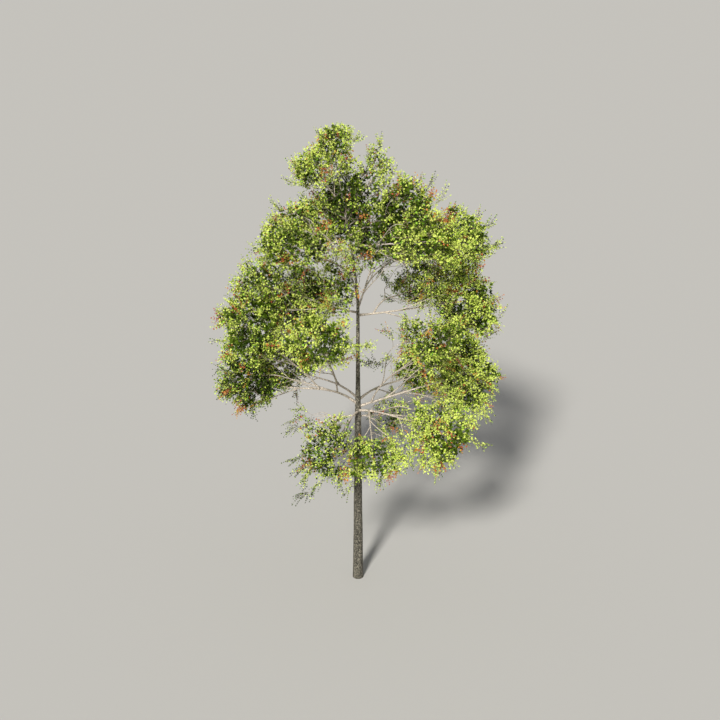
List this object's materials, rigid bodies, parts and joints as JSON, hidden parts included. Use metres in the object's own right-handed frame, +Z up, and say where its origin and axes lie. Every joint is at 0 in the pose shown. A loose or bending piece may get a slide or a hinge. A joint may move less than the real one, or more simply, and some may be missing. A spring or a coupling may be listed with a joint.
{
  "type": "maple tree",
  "caption": "Slim maple tree in leaf: a tall straight trunk, tiers of arching boughs and an open, rounded crown of separate foliage masses.",
  "frame": {"origin": "centre of the flat cut under the trunk, at ground level", "axes": "+Z up along the trunk; +X to the right and -Y towards the viewer of the source view"},
  "size_m": [8.2027, 7.5003, 13.897],
  "materials": {
    "bark": "rough grey-brown bark, speckled",
    "bough_bark": "smoother pale grey-tan bark",
    "leaf": "matt yellow-green leaves with a few orange-red sprays"
  },
  "bodies": {
    "root": {"trunk": "bark", "bough_low_left": "bough_bark", "bough_low_far_left": "bough_bark", "bough_low_front_left": "bough_bark", "bough_low_front_right": "bough_bark", "bough_low_front": "bough_bark", "bough_low_inner": "bough_bark", "bough_low_right": "bough_bark", "bough_low_back_right": "bough_bark", "bough_low_back_left": "bough_bark", "bough_mid_left": "bough_bark", "bough_mid_front_left": "bough_bark", "bough_mid_back_left": "bough_bark", "bough_up_left": "bough_bark", "bough_mid_left_inner": "bough_bark", "bough_mid_inner": "bough_bark", "bough_mid_right": "bough_bark", "bough_mid_front_right": "bough_bark", "bough_mid_back_right": "bough_bark", "bough_up_inner": "bough_bark", "bough_up_back_right": "bough_bark", "bough_up_back_left": "bough_bark", "bough_up_front_left": "bough_bark", "bough_up_far_left": "bough_bark", "bough_up_front_right": "bough_bark", "bough_up_right": "bough_bark", "bough_top_right": "bough_bark", "bough_top_inner": "bough_bark", "bough_top_middle": "bough_bark", "bough_top_far_left": "bough_bark", "foliage_low_left": "leaf", "foliage_low_far_left": "leaf", "foliage_low_front_left": "leaf", "foliage_low_front_right": "leaf", "foliage_low_front": "leaf", "foliage_low_inner": "leaf", "foliage_low_right": "leaf", "foliage_low_back_right": "leaf", "foliage_low_back_left": "leaf", "foliage_mid_left": "leaf", "foliage_mid_front_left": "leaf", "foliage_mid_back_left": "leaf", "foliage_up_left": "leaf", "foliage_mid_left_inner": "leaf", "foliage_mid_inner": "leaf", "foliage_mid_right": "leaf", "foliage_mid_front_right": "leaf", "foliage_mid_back_right": "leaf", "foliage_up_inner": "leaf", "foliage_up_back_right": "leaf", "foliage_up_back_left": "leaf", "foliage_up_front_left": "leaf", "foliage_up_far_left": "leaf", "foliage_up_front_right": "leaf", "foliage_up_right": "leaf", "foliage_top_right": "leaf", "foliage_top_inner": "leaf", "foliage_top_middle": "leaf", "foliage_top_far_left": "leaf", "foliage_top_left": "leaf"}
  },
  "joints": []
}
